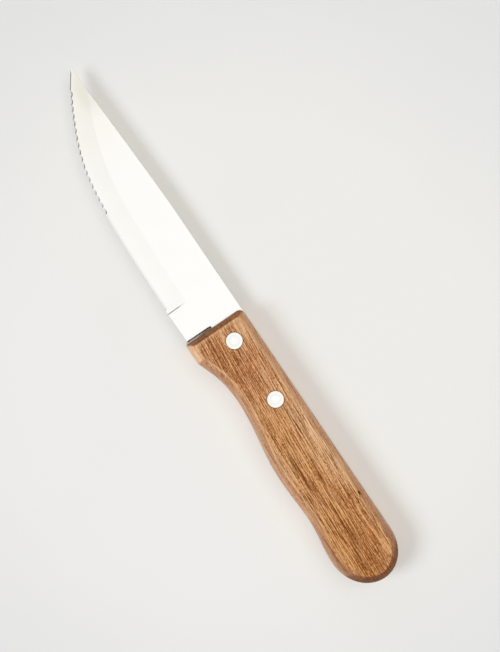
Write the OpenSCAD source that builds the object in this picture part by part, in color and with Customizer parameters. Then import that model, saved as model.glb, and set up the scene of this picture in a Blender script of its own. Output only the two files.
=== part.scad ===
// Steak knife lying on its side: a serrated blade whose half tang is riveted into a wooden handle.
// The origin is on the handle's flat underside, midway between the two rivets.
// +X points to the tip, +Y to the cutting edge and +Z up.

/* [Blade] */
// Length of the blade, from the handle's front face to the tip
blade_l = 125.1; // [115:0.1:135]
// Height of the blade at its heel, from the back to the edge
blade_h = 27.1; // [25:0.1:29]
// Thickness of the sheet that the blade and its tang are cut from
blade_t = 1.3; // [1:0.1:1.8]
// How far the tip drops below the straight line of the back
tip_drop = 2.7; // [0.5:0.1:4]
// Height of the blunt end at the tip
tip_blunt = 0.3; // [0.2:0.05:0.5]
// Length of the flat stretch in front of the handle that is left unground
ricasso_l = 15.1; // [10:0.1:18]
// Length of the run-out between that flat stretch and the ground band
plunge_l = 0.8; // [0.4:0.1:1.6]
// Gap between the blade's shoulder and the handle's front face
shoulder_gap = 0.6; // [0.4:0.1:2]

/* [Edge] */
// Distance from the run-out to the step where sharpening starts
step_offset = 2.4; // [1.5:0.1:4]
// Length of that step along the edge
step_l = 0.3; // [0.2:0.05:0.6]
// Thickness that the hollow grinding leaves behind the edge
ground_t = 0.36; // [0.3:0.02:0.5]
// Width of the sharpening bevel on the plain edge
bevel_w = 0.6; // [0.4:0.1:1]
// Thickness of the sharpened edge
edge_t = 0.1; // [0.06:0.02:0.2]
// Length of the straight plain edge at the tip, along the blade
tip_edge_l = 7.5; // [6:0.1:10]

/* [Serrations] */
// Number of scallops, counted back from the plain edge at the tip
scallops = 18; // [6:1:20]
// Distance between two points of the serrations
scallop_pitch = 3.08; // [2.4:0.05:3.4]
// Depth of a scallop, from the line through its points
scallop_depth = 0.5; // [0.4:0.05:0.9]
// Angle between a scallop's groove and the blade's face
scallop_angle = 34; // [18:1:36]
// How far the grooves are set in from the line of the plain edge
groove_set_in = 0.06; // [0.04:0.02:0.2]
// How far the grooves' floors pass under the blade's lower face
groove_sink = 0.03; // [0.02:0.01:0.06]

/* [Tang] */
// Height of the tang, from the back to its lower side
tang_h = 15; // [14:0.1:16]
// Length of the tang's straight lower side behind the handle's front face
tang_l = 47; // [46:0.5:60]
// Radius of the saw that cuts the slot, which the tang's end follows
saw_r = 30; // [24:1:40]

/* [Handle] */
// Length of the handle
handle_l = 128.9; // [120:0.1:140]
// Height of the handle at its front, from the back to the belly
handle_h = 28.6; // [27:0.1:31]
// Thickness of the handle
handle_t = 15; // [12:0.5:18]
// Degrees by which the straight back leans from the rivet line
back_lean = 1; // [0:0.1:2]
// Distance from the front face to the kink where the finger recess starts
kink_x = 9.1; // [7:0.1:11]
// Distance from the butt to the crest of the belly in front of it
bulge_l = 17.2; // [14:0.2:20]
// Distance from the butt to the end of the straight back
butt_l = 15.8; // [13:0.2:18]
// Distance from the rivet line to the butt's furthest point, across the handle
butt_y = 5.3; // [3:0.1:8]
// Radius of the front corner at the back, seen from above
back_corner_r = 2.4; // [1.6:0.1:3.2]
// Radius of the front corner at the belly, seen from above
belly_corner_r = 1.4; // [1:0.1:2]
// Radius that the front corners keep where they meet the flat faces
corner_least_r = 0.6; // [0.4:0.1:0.8]

/* [Rounded edges] */
// Height of the rounding between a flat face and the sides
round_h = 2.8; // [2:0.1:3.4]
// Width of the rounding along the back
back_round_w = 2.8; // [1.8:0.1:3.4]
// Width of the rounding along the belly
belly_round_w = 3.4; // [2:0.1:4]
// Width of the rounding along the front face
front_round_w = 2.2; // [1.4:0.1:3]
// Width of the rounding round the butt
butt_round_w = 2.6; // [1.6:0.1:3.2]

/* [Rivets] */
// Distance from the front face to the front rivet
rivet_x = 9.9; // [8:0.1:12]
// Distance between the two rivets
rivet_pitch = 30.3; // [24:0.1:34]
// Distance from the back to the rivet line at the handle's front face
rivet_drop = 10.4; // [9.4:0.1:11]
// Diameter of the rivet heads
head_d = 7.2; // [6.4:0.1:8]
// Thickness of the rivet heads
head_t = 1.2; // [0.8:0.1:1.8]
// Outer diameter of the sleeve that passes through the tang
sleeve_d = 4.8; // [4.2:0.1:5.4]
// Diameter of the pin that is pressed into the sleeve
pin_d = 3; // [2.4:0.1:3.4]
// Room left between the sleeve's end and the stud's head
sleeve_end_gap = 0.4; // [0.2:0.1:0.8]
// Room left between the pin's end and the bottom of the sleeve's hole
pin_end_gap = 0.5; // [0.3:0.1:1]
// Depth of solid metal between a sleeve's hole and its head
sleeve_web = 0.8; // [0.5:0.1:1.2]
// Width of the bevel on the pin's end
pin_bevel = 0.3; // [0.2:0.05:0.4]

/* [Fits] */
// Clearance on each side of the tang in its slot
slot_play = 0.05; // [0.02:0.01:0.1]
// Clearance round the sleeves in the wood and in the tang
sleeve_play = 0.05; // [0.02:0.01:0.1]
// Clearance round the rivet heads in their seats
head_play = 0.1; // [0.05:0.01:0.15]
// Clearance between pin and sleeve
pin_play = 0.02; // [0.01:0.01:0.03]
// Depth of the rivet heads below the flat faces
head_recess = 0.03; // [0.01:0.01:0.1]

/* [Hidden] */
$fn = 48;

// How far a cut runs past the material
overrun = 2;

// Back of the blade: it is straight up to this share of the length and then bends to the tip
bend_share = 0.41;
bend_power = 1.25;
// Ground edge: share of the blade's length, then of its height below the back
edge_shares = [
    [0.12, 0.984], [0.3, 0.961], [0.45, 0.925], [0.54, 0.889], [0.62, 0.842],
    [0.69, 0.775], [0.76, 0.668], [0.83, 0.524], [0.9, 0.353], [0.95, 0.209]
];
// Upper border of the ground band, in the same two shares
grind_shares = [
    [0.1, 0.664], [0.33, 0.622], [0.45, 0.59], [0.54, 0.55], [0.62, 0.494],
    [0.69, 0.413], [0.77, 0.29], [0.84, 0.155], [0.9, 0.015], [1, -0.22]
];
// Power that gives the ground band its hollow
hollow_power = 1.5;
// Rows of points between the border of the ground band and the sharpening bevel
hollow_rows = 4;
// Largest share of the height under the ground band's border that the sharpening bevel takes near the tip
bevel_most_share = 0.3;
// Least share of the blade's height above the first row of the ground band
first_row_share = 0.12;
// Half the run over which the slope of an outline is taken, as a share of the scallops' pitch
slope_run_share = 0.1;

// Belly behind the kink: share of the handle's length, then of its height at the front
belly_shares = [
    [0.1, 0.952], [0.14, 0.893], [0.185, 0.853], [0.24, 0.837], [0.3, 0.854],
    [0.36, 0.89], [0.435, 0.949], [0.5, 0.988], [0.57, 1], [0.64, 0.992],
    [0.705, 0.988], [0.76, 1.012], [0.815, 1.055]
];
// Height of the belly's crest in front of the butt, as a share of the height at the front
bulge_share = 1.073;
// How far the rounding of the handle's edges is drawn towards a straight chamfer
chamfer_share = 0.75;

// Counts of steps along the outlines
corner_steps = 4;
belly_steps = 32;
butt_steps = 10;
round_steps = 5;
back_steps = 12;
teeth_steps = 24;
tip_steps = 4;

// Places that follow from the sizes, measured from the handle's front face and the rivet line
front_x = rivet_x + rivet_pitch / 2;
mid_z = handle_t / 2;
heel_y = blade_h - rivet_drop;
tang_y = tang_h - rivet_drop;
belly_y = handle_h - rivet_drop;
bend_x = bend_share * blade_l;
step_x = ricasso_l + step_offset;
tip_edge_x = blade_l - tip_edge_l;
slope_run = slope_run_share * scallop_pitch;
seat_depth = head_t + head_recess;
sleeve_l = handle_t - 2 * seat_depth - sleeve_end_gap;
sleeve_hole_l = sleeve_l - sleeve_web;
pin_l = sleeve_hole_l + sleeve_end_gap - pin_end_gap;

// A mixture of two values or points
function mix(a, b, share) = a + (b - a) * share;

// Evenly spaced values from the first up to, but without, the last
function spread(first, last, steps) = [for (i = [0:steps - 1]) mix(first, last, i / steps)];

// Slope of a table's curve at one of its points
function slope_at(table, i) =
    let (a = max(i - 1, 0), b = min(i + 1, len(table) - 1))
    (table[b][1] - table[a][1]) / (table[b][0] - table[a][0]);

// Value of the smooth curve through a table's points
function curve_at(table, x) =
    let (
        i = max([0, for (k = [0:len(table) - 2]) if (x >= table[k][0]) k]),
        w = table[i + 1][0] - table[i][0],
        u = (x - table[i][0]) / w,
        v = 1 - u
    )
    (1 + 2 * u) * v * v * table[i][1]
    + (1 + 2 * v) * u * u * table[i + 1][1]
    + u * v * v * w * slope_at(table, i)
    - u * u * v * w * slope_at(table, i + 1);

// Back of the knife, from the butt to the tip
function back_at(x) =
    tip_drop * pow(max(0, (x - bend_x) / (blade_l - bend_x)), bend_power)
    - rivet_drop - x * tan(back_lean);

// The handle's front face and the blade's shoulder, which are square to the back
function front_at(y) = y * tan(back_lean);

// Edge of the blade before the scallops are cut
function ground_edge_at(x) = blade_h * curve_at(edge_shares, x / blade_l) - rivet_drop;
tip_y = back_at(blade_l) + tip_blunt;
function edge_at(x) =
    x <= step_x ? heel_y
    : x <= tip_edge_x ? ground_edge_at(x)
    : mix(ground_edge_at(tip_edge_x), tip_y, (x - tip_edge_x) / tip_edge_l);
function edge_lean(x) = atan((edge_at(x + slope_run) - edge_at(x - slope_run)) / (2 * slope_run));

// Upper border of the ground band, which runs off the back near the tip
function grind_at(x) = blade_h * curve_at(grind_shares, x / blade_l) - rivet_drop;

// Thickness of the sheet at a point of the blade
function thickness_at(x, y) =
    let (share = (y - grind_at(x)) / (edge_at(x) - grind_at(x)))
    x <= ricasso_l || share <= 0 ? blade_t
    : mix(ground_t, blade_t, pow(1 - min(share, 1), hollow_power));
function is_sharpened(x) = (x > step_x && x <= teeth_end_x) || x > tip_edge_x;
function edge_thickness_at(x) =
    x <= ricasso_l ? blade_t
    : is_sharpened(x) ? edge_t
    : ground_t;

// Points of the serrations, from the tip's plain edge backwards
teeth_xs = [
    for (i = 0, x = tip_edge_x; i <= scallops;
        x = x - scallop_pitch * cos(edge_lean(x - scallop_pitch / 2)), i = i + 1) x
];
teeth_end_x = teeth_xs[scallops];

// Stations along the ground part of the blade, from the ricasso to the tip
blade_xs = concat(
    [ricasso_l, ricasso_l + plunge_l, step_x, step_x + step_l],
    spread(step_x + 2 * step_l, teeth_end_x, back_steps),
    [teeth_end_x],
    spread(teeth_end_x + step_l, tip_edge_x, teeth_steps),
    [tip_edge_x],
    spread(tip_edge_x + step_l, blade_l, tip_steps),
    [blade_l]
);

// One station's rows, from the back to the edge, each with its place and thickness
function blade_rows(x) =
    let (
        back = back_at(x),
        edge = edge_at(x),
        first = max(grind_at(x), mix(back, edge, first_row_share)),
        bevel = edge - min(bevel_w, bevel_most_share * (edge - first))
    )
    concat(
        [[back, thickness_at(x, back)]],
        [for (y = spread(first, bevel, hollow_rows)) [y, thickness_at(x, y)]],
        [[bevel, thickness_at(x, bevel)], [edge, edge_thickness_at(x)]]
    );

// The ring of points round one station of the ground blade
function blade_ring(x) =
    let (rows = blade_rows(x), last = len(rows) - 1)
    concat(
        [for (j = [0:last]) [x, rows[j][0], rows[j][1] / 2]],
        [for (j = [last:-1:0]) [x, rows[j][0], -rows[j][1] / 2]]
    );

// Triangles between neighbouring rings of the same count
function wall_faces(rings, count) = [
    for (k = [0:rings - 2], j = [0:count - 1])
        let (a = k * count + j, b = k * count + (j + 1) % count)
        for (face = [[a, b, b + count], [a, b + count, a + count]]) face
];

// Flat four-sided strips that close a ring whose two sides run side by side
function cap_faces(first, count) = [
    for (j = [0:floor(count / 2) - 2])
        [first + j, first + j + 1, first + count - 2 - j, first + count - 1 - j]
];

function turned(faces) = [for (face = faces) [for (i = [len(face) - 1:-1:0]) face[i]]];

// Angles of a quarter turn
function quarter(steps) = [for (i = [0:steps]) 90 * i / steps];

// Belly of the handle, from the front face to its crest before the butt
bulge_x = handle_l - bulge_l;
last_share = belly_shares[len(belly_shares) - 1];
belly_table = concat(
    [[kink_x / handle_l, 1]],
    belly_shares,
    [[bulge_x / handle_l, bulge_share]],
    [[2 * bulge_x / handle_l - last_share[0], last_share[1]]]
);
function belly_at(x) = x < kink_x ? belly_y : handle_h * curve_at(belly_table, x / handle_l) - rivet_drop;
function belly_lean(x) = atan((belly_at(x + slope_run) - belly_at(x - slope_run)) / (2 * slope_run));

// Pairs of points on the back and the belly of the handle, from the front face to the butt.
// The insets draw the outline in by as much on each side, and the radii round the front corners.
function handle_pairs(front_in, back_in, belly_in, butt_in, back_r, belly_r) =
    let (
        belly_high = belly_y - belly_in,
        bulge_high = bulge_share * handle_h - rivet_drop - belly_in,
        back_end = back_at(butt_l - handle_l) + back_in
    )
    concat(
        [for (a = quarter(corner_steps))
            let (
                back_x = -front_in - back_r * (1 - cos(a)),
                back_y = back_at(back_x) + back_in + back_r * (1 - sin(a)),
                belly_x = -front_in - belly_r * (1 - cos(a)),
                high_y = belly_high - belly_r * (1 - sin(a))
            )
            [[back_x + front_at(back_y), back_y], [belly_x + front_at(high_y), high_y]]],
        [for (d = spread(kink_x, bulge_x, belly_steps))
            let (lean = belly_lean(d))
            [[-d, back_at(-d) + back_in],
                [-d - belly_in * sin(lean), belly_at(d) - belly_in * cos(lean)]]],
        [for (a = spread(0, 90, butt_steps))
            [[butt_l - handle_l - (butt_l - butt_in) * sin(a), mix(butt_y, back_end, cos(a))],
                [-bulge_x - (bulge_l - butt_in) * sin(a), mix(butt_y, bulge_high, cos(a))]]]
    );

// The closed outline: along the back, round the butt and along the belly to the front
function handle_outline(pairs, butt_in) =
    concat(
        [for (pair = pairs) pair[0]],
        [[butt_in - handle_l, butt_y]],
        [for (i = [len(pairs) - 1:-1:0]) pairs[i][1]]
    );

outer_outline = handle_outline(handle_pairs(0, 0, 0, 0, back_corner_r, belly_corner_r), 0);
inner_outline = handle_outline(
    handle_pairs(
        front_round_w, back_round_w, belly_round_w, butt_round_w,
        max(back_corner_r - front_round_w, corner_least_r),
        max(belly_corner_r - front_round_w, corner_least_r)
    ),
    butt_round_w
);
round_levels = [
    for (i = [0:round_steps])
        let (share = i / round_steps, a = 90 * share)
            [round_h * mix(1 - cos(a), share, chamfer_share), mix(1 - sin(a), 1 - share, chamfer_share)]
];
handle_levels = concat(
    round_levels,
    [for (i = [round_steps:-1:0]) [handle_t - round_levels[i][0], round_levels[i][1]]]
);

// Pieces are drawn from the handle's front face and the rivet line, then moved into the part's frame
module in_frame() {
    translate([front_x, 0, 0]) children();
}

module at_rivet(place) {
    translate([-place, 0, 0]) children();
}

// The path of the saw that cuts the slot, from the front face to its last place
module saw_path(play) {
    union() {
        translate([-tang_l, tang_y + play - 2 * saw_r])
            square([tang_l + shoulder_gap + overrun, 2 * saw_r]);
        translate([-tang_l, tang_y - saw_r]) circle(r = saw_r + play, $fn = 96);
    }
}

// Tang and ricasso, left at the sheet's full thickness
module sheet() {
    far_x = -(tang_l + saw_r + overrun);
    linear_extrude(blade_t, center = true) difference() {
        polygon([
            [far_x, back_at(far_x)],
            [ricasso_l, back_at(ricasso_l)],
            [ricasso_l, heel_y],
            [far_x, heel_y]
        ]);
        difference() {
            polygon([
                [far_x - overrun, -blade_h],
                [shoulder_gap + front_at(-blade_h), -blade_h],
                [shoulder_gap + front_at(blade_h), blade_h],
                [far_x - overrun, blade_h]
            ]);
            saw_path(0);
        }
    }
}

// The ground part of the blade, from the ricasso to the tip
module ground_blade() {
    count = 2 * len(blade_rows(ricasso_l));
    rings = len(blade_xs);
    polyhedron(
        points = [for (x = blade_xs) each blade_ring(x)],
        faces = concat(
            wall_faces(rings, count),
            turned(cap_faces(0, count)),
            cap_faces((rings - 1) * count, count)
        )
    );
}

// One groove of the serrations, at its middle on the line of the edge
module groove() {
    rise = scallop_depth * sin(scallop_angle);
    radius = (pow(scallop_pitch / 2, 2) + pow(rise, 2)) / (2 * rise);
    length = 2 * (blade_t + overrun) / sin(scallop_angle);
    translate([
        0,
        radius * sin(scallop_angle) - scallop_depth - groove_set_in,
        radius * cos(scallop_angle) - ground_t / 2 - groove_sink
    ])
        rotate([90 - scallop_angle, 0, 0])
            cylinder(h = length, r = radius, center = true, $fn = 64);
}

module serrations() {
    for (i = [0:scallops - 1]) {
        x1 = teeth_xs[i + 1];
        x2 = teeth_xs[i];
        translate([(x1 + x2) / 2, (edge_at(x1) + edge_at(x2)) / 2, 0])
            rotate([0, 0, atan((edge_at(x2) - edge_at(x1)) / (x2 - x1))])
                groove();
    }
}

module blade() {
    color([0.85, 0.85, 0.83]) in_frame() translate([0, 0, mid_z]) difference() {
        union() {
            sheet();
            ground_blade();
        }
        for (place = [rivet_x, rivet_x + rivet_pitch])
            at_rivet(place) cylinder(h = 2 * blade_t, d = sleeve_d + 2 * sleeve_play, center = true);
        serrations();
    }
}

// The shaped handle before slot and holes are cut
module handle_block() {
    count = len(outer_outline);
    levels = len(handle_levels);
    polyhedron(
        points = [
            for (level = handle_levels, i = [0:count - 1])
                let (point = mix(outer_outline[i], inner_outline[i], level[1]))
                [point[0], point[1], level[0]]
        ],
        faces = concat(
            wall_faces(levels, count),
            turned(cap_faces(0, count)),
            [[floor(count / 2) + 1, floor(count / 2), floor(count / 2) - 1]],
            cap_faces((levels - 1) * count, count),
            [[for (i = [-1:1]) (levels - 1) * count + floor(count / 2) + i]]
        )
    );
}

// Hole for a rivet's sleeve with a seat for a head at each face
module rivet_holes() {
    translate([0, 0, -overrun]) cylinder(h = handle_t + 2 * overrun, d = sleeve_d + 2 * sleeve_play);
    for (z = [-overrun, handle_t - seat_depth])
        translate([0, 0, z]) cylinder(h = seat_depth + overrun, d = head_d + 2 * head_play);
}

module handle() {
    slot_w = blade_t + 2 * slot_play;
    color([0.62, 0.42, 0.26]) in_frame() difference() {
        handle_block();
        translate([0, 0, mid_z - slot_w / 2]) linear_extrude(slot_w) saw_path(slot_play);
        for (place = [rivet_x, rivet_x + rivet_pitch])
            at_rivet(place) rivet_holes();
    }
}

// Half of a rivet with a solid pin, its head in the underside
module rivet_stud() {
    color([0.87, 0.87, 0.86]) translate([0, 0, head_recess]) rotate_extrude() polygon([
        [0, 0],
        [head_d / 2, 0],
        [head_d / 2, head_t],
        [pin_d / 2, head_t],
        [pin_d / 2, head_t + pin_l - pin_bevel],
        [pin_d / 2 - pin_bevel, head_t + pin_l],
        [0, head_t + pin_l]
    ]);
}

// Half of a rivet with a hollow sleeve, its head in the upper face
module rivet_sleeve() {
    hole_r = pin_d / 2 + pin_play;
    color([0.87, 0.87, 0.86]) translate([0, 0, handle_t - head_recess]) rotate_extrude() polygon([
        [0, 0],
        [head_d / 2, 0],
        [head_d / 2, -head_t],
        [sleeve_d / 2, -head_t],
        [sleeve_d / 2, -head_t - sleeve_l],
        [hole_r, -head_t - sleeve_l],
        [hole_r, -head_t - sleeve_web],
        [0, -head_t - sleeve_web]
    ]);
}

module front_rivet_stud() {
    in_frame() at_rivet(rivet_x) rivet_stud();
}

module front_rivet_sleeve() {
    in_frame() at_rivet(rivet_x) rivet_sleeve();
}

module rear_rivet_stud() {
    in_frame() at_rivet(rivet_x + rivet_pitch) rivet_stud();
}

module rear_rivet_sleeve() {
    in_frame() at_rivet(rivet_x + rivet_pitch) rivet_sleeve();
}

blade();
handle();
front_rivet_stud();
front_rivet_sleeve();
rear_rivet_stud();
rear_rivet_sleeve();
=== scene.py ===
import math

import bmesh
import bpy
import numpy as np
from mathutils import Matrix


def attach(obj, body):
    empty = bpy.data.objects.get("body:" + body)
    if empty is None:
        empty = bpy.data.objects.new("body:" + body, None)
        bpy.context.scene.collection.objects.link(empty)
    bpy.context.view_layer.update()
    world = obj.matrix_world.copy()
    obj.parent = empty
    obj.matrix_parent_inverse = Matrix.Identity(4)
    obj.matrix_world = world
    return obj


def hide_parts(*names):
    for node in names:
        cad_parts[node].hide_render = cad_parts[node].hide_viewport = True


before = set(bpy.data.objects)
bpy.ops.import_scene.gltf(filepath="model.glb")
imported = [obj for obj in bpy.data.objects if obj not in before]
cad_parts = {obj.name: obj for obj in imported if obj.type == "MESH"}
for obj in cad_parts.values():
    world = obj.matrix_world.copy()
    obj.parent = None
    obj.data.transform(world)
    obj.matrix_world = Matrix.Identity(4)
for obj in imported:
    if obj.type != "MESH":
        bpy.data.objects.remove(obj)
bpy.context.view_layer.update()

scene = bpy.context.scene

# Sizes in millimetres, as in the part's source. x is counted from the handle's
# front face towards the tip, y from the rivet line towards the edge.
MM = 0.001

# Blade and its grind
BLADE_L = 125.1
BLADE_H = 27.1
BLADE_T = 1.3
TIP_DROP = 2.7
TIP_BLUNT = 0.3
RICASSO_L = 15.1
PLUNGE_L = 0.8
SHOULDER_GAP = 0.6
STEP_OFFSET = 2.4
STEP_L = 0.3
GROUND_T = 0.36
EDGE_T = 0.1
BEVEL_W = 0.6
TIP_EDGE_L = 7.5

# Scallops
SCALLOPS = 18
SCALLOP_PITCH = 3.08
SCALLOP_DEPTH = 0.5
SCALLOP_ANGLE = math.radians(34)
GROOVE_SET_IN = 0.06
GROOVE_SINK = 0.03

# Tang
TANG_H = 15
TANG_L = 47
SAW_R = 30

# Handle
HANDLE_L = 128.9
HANDLE_H = 28.6
HANDLE_T = 15
BACK_LEAN = math.radians(1)
KINK_X = 9.1
BULGE_L = 17.2
BUTT_L = 15.8
BUTT_Y = 5.3
BACK_CORNER_R = 2.4
BELLY_CORNER_R = 1.4
CORNER_LEAST_R = 0.6
ROUND_H = 2.8
BACK_ROUND_W = 2.8
BELLY_ROUND_W = 3.4
FRONT_ROUND_W = 2.2
BUTT_ROUND_W = 2.6

# Rivets
RIVET_X = 9.9
RIVET_PITCH = 30.3
RIVET_DROP = 10.4
HEAD_D = 7.2
HEAD_T = 1.2
SLEEVE_D = 4.8
PIN_D = 3
SLEEVE_END_GAP = 0.4
PIN_END_GAP = 0.5
SLEEVE_WEB = 0.8
PIN_BEVEL = 0.3

# Clearances, and how far a cutter stands out of what it cuts
SLOT_PLAY = 0.05
SLEEVE_PLAY = 0.05
HEAD_PLAY = 0.1
PIN_PLAY = 0.02
HEAD_RECESS = 0.03
OVERRUN = 2

# Curves: a share of the blade's or handle's length, and there a share of its height
BEND_SHARE = 0.41
BEND_POWER = 1.25
HOLLOW_POWER = 1.5
EDGE_SHARES = [
    (0.12, 0.984), (0.3, 0.961), (0.45, 0.925), (0.54, 0.889), (0.62, 0.842),
    (0.69, 0.775), (0.76, 0.668), (0.83, 0.524), (0.9, 0.353), (0.95, 0.209),
]
GRIND_SHARES = [
    (0.1, 0.664), (0.33, 0.622), (0.45, 0.59), (0.54, 0.55), (0.62, 0.494),
    (0.69, 0.413), (0.77, 0.29), (0.84, 0.155), (0.9, 0.015), (1, -0.22),
]
BELLY_SHARES = [
    (0.1, 0.952), (0.14, 0.893), (0.185, 0.853), (0.24, 0.837), (0.3, 0.854),
    (0.36, 0.89), (0.435, 0.949), (0.5, 0.988), (0.57, 1), (0.64, 0.992),
    (0.705, 0.988), (0.76, 1.012), (0.815, 1.055),
]
BULGE_SHARE = 1.073
CHAMFER_SHARE = 0.75
CREST_SHARE = 0.12
SLOPE_RUN_SHARE = 0.1

# Places worked out from the sizes
FRONT_X = RIVET_X + RIVET_PITCH / 2
RIVET_PLACES = (RIVET_X, RIVET_X + RIVET_PITCH)
MID_Z = HANDLE_T / 2
HEEL_Y = BLADE_H - RIVET_DROP
TANG_Y = TANG_H - RIVET_DROP
BELLY_Y = HANDLE_H - RIVET_DROP
BEND_X = BEND_SHARE * BLADE_L
STEP_X = RICASSO_L + STEP_OFFSET
TIP_EDGE_X = BLADE_L - TIP_EDGE_L
SLOPE_RUN = SLOPE_RUN_SHARE * SCALLOP_PITCH
SEAT_DEPTH = HEAD_T + HEAD_RECESS
SLEEVE_L = HANDLE_T - 2 * SEAT_DEPTH - SLEEVE_END_GAP
SLEEVE_HOLE_L = SLEEVE_L - SLEEVE_WEB
PIN_L = SLEEVE_HOLE_L + SLEEVE_END_GAP - PIN_END_GAP


def mix(a, b, share):
    return a + (b - a) * share


def smooth_step(share):
    share = min(max(share, 0), 1)
    return share * share * (3 - 2 * share)


def curve_through(points):
    """The smooth curve through a table's points."""
    xs, ys = np.array(points, float).T
    order = np.arange(len(xs))
    low, high = np.maximum(order - 1, 0), np.minimum(order + 1, len(xs) - 1)
    slopes = (ys[high] - ys[low]) / (xs[high] - xs[low])

    def value(x):
        i = min(max(int(np.searchsorted(xs, x, side="right")) - 1, 0), len(xs) - 2)
        width = xs[i + 1] - xs[i]
        u = (x - xs[i]) / width
        v = 1 - u
        return float(
            (1 + 2 * u) * v * v * ys[i] + (1 + 2 * v) * u * u * ys[i + 1]
            + u * v * v * width * slopes[i] - u * u * v * width * slopes[i + 1]
        )

    return value


# Shape of the blade
PLUNGE_EASE = 0.15
GROOVE_REACH = 0.9
edge_share_at = curve_through(EDGE_SHARES)
grind_share_at = curve_through(GRIND_SHARES)


def back_at(x):
    drop = max(0, (x - BEND_X) / (BLADE_L - BEND_X))
    return TIP_DROP * drop**BEND_POWER - RIVET_DROP - x * math.tan(BACK_LEAN)


def front_at(y):
    """The handle's front face and the blade's shoulder, which are square to the back."""
    return y * math.tan(BACK_LEAN)


TIP_Y = back_at(BLADE_L) + TIP_BLUNT


def ground_edge_at(x):
    return BLADE_H * edge_share_at(x / BLADE_L) - RIVET_DROP


def edge_at(x):
    if x <= STEP_X:
        return HEEL_Y
    if x <= TIP_EDGE_X:
        return ground_edge_at(x)
    return mix(ground_edge_at(TIP_EDGE_X), TIP_Y, (x - TIP_EDGE_X) / TIP_EDGE_L)


def edge_lean(x, run=SLOPE_RUN):
    return math.atan((edge_at(x + run) - edge_at(x - run)) / (2 * run))


def grind_at(x):
    return BLADE_H * grind_share_at(x / BLADE_L) - RIVET_DROP


def scallop_points():
    """Points of the serrations, from the tip's plain edge backwards."""
    xs = [TIP_EDGE_X]
    for _ in range(SCALLOPS):
        x = xs[-1]
        xs.append(x - SCALLOP_PITCH * math.cos(edge_lean(x - SCALLOP_PITCH / 2)))
    return xs


TEETH_XS = scallop_points()
TEETH_END_X = TEETH_XS[-1]
GROOVES = []
for tip_side, heel_side in zip(TEETH_XS, TEETH_XS[1:]):
    high, low = edge_at(heel_side), edge_at(tip_side)
    middle = ((tip_side + heel_side) / 2, (high + low) / 2)
    GROOVES.append((middle, math.atan((low - high) / (tip_side - heel_side))))
GROOVE_RISE = SCALLOP_DEPTH * math.sin(SCALLOP_ANGLE)
GROOVE_R = ((SCALLOP_PITCH / 2) ** 2 + GROOVE_RISE**2) / (2 * GROOVE_RISE)


def thickness_at(x, y):
    """Thickness of the hollow-ground sheet, before sharpening."""
    if x <= RICASSO_L:
        return BLADE_T
    share = (y - grind_at(x)) / (edge_at(x) - grind_at(x))
    if share <= 0:
        return BLADE_T
    hollow = mix(GROUND_T, BLADE_T, (1 - min(share, 1)) ** HOLLOW_POWER)
    run_out = smooth_step((x - RICASSO_L - PLUNGE_EASE) / (PLUNGE_L - 2 * PLUNGE_EASE))
    return mix(BLADE_T, hollow, run_out)


def groove_floor_at(x, y, nearest):
    """Height of the scallops' grooves over the blade's middle plane."""
    heights = []
    for (mx, my), lean in (GROOVES[i] for i in nearest):
        u = (x - mx) * math.cos(lean) + (y - my) * math.sin(lean)
        v = (y - my) * math.cos(lean) - (x - mx) * math.sin(lean)
        if abs(u) >= GROOVE_R * GROOVE_REACH:
            continue
        sag = GROOVE_R - math.sqrt(GROOVE_R**2 - u * u)
        heights.append(
            -GROUND_T / 2 - GROOVE_SINK
            + (-SCALLOP_DEPTH - GROOVE_SET_IN - v) * math.tan(SCALLOP_ANGLE)
            + sag / math.cos(SCALLOP_ANGLE)
        )
    return min(heights) if heights else BLADE_T


# Meshes, made in millimetres in the part's frame
def new_object(name, points, faces):
    mesh = bpy.data.meshes.new(name)
    mesh.from_pydata([tuple(map(float, p)) for p in points], [], faces)
    mesh.validate()
    piece = bpy.data.objects.new(name, mesh)
    scene.collection.objects.link(piece)
    return piece


def tidy_mesh(piece, merge=0.0005):
    """Joins points that meet, and turns all faces outwards."""
    shape = bmesh.new()
    shape.from_mesh(piece.data)
    bmesh.ops.remove_doubles(shape, verts=shape.verts, dist=merge)
    bmesh.ops.dissolve_degenerate(shape, edges=shape.edges, dist=merge)
    bmesh.ops.recalc_face_normals(shape, faces=shape.faces)
    shape.to_mesh(piece.data)
    shape.free()


def cut_away(piece, cutters):
    """Takes the cutters' shapes out of the piece."""
    for cutter in cutters:
        modifier = piece.modifiers.new("cut", "BOOLEAN")
        modifier.operation = "DIFFERENCE"
        modifier.solver = "EXACT"
        modifier.object = cutter
    bpy.context.view_layer.update()
    depsgraph = bpy.context.evaluated_depsgraph_get()
    mesh = bpy.data.meshes.new_from_object(piece.evaluated_get(depsgraph))
    piece.modifiers.clear()
    piece.data = mesh
    for cutter in cutters:
        bpy.data.objects.remove(cutter)


def lathe(name, profile, place, segments=96):
    """A turned solid round an upright axis, from a profile of radius and height."""
    points, rings = [], []
    for radius, height in profile:
        ring = []
        turns = segments if radius > 0 else 1
        for i in range(turns):
            angle = 2 * math.pi * i / segments
            ring.append(len(points))
            points.append((
                place[0] + radius * math.cos(angle),
                place[1] + radius * math.sin(angle),
                place[2] + height,
            ))
        rings.append(ring)
    faces = []
    for below, above in zip(rings, rings[1:]):
        for i in range(segments):
            j = (i + 1) % segments
            corners = [below[i % len(below)], below[j % len(below)],
                       above[j % len(above)], above[i % len(above)]]
            faces.append(list(dict.fromkeys(corners)))
    piece = new_object(name, points, faces)
    tidy_mesh(piece)
    return piece


def plate(name, outline, low, high):
    """A flat outline drawn up from one height to another."""
    count = len(outline)
    points = [(x, y, z) for z in (low, high) for x, y in outline]
    faces = [list(range(count))[::-1], list(range(count, 2 * count))]
    faces += [[i, (i + 1) % count, (i + 1) % count + count, i + count] for i in range(count)]
    piece = new_object(name, points, faces)
    tidy_mesh(piece)
    return piece


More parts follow.
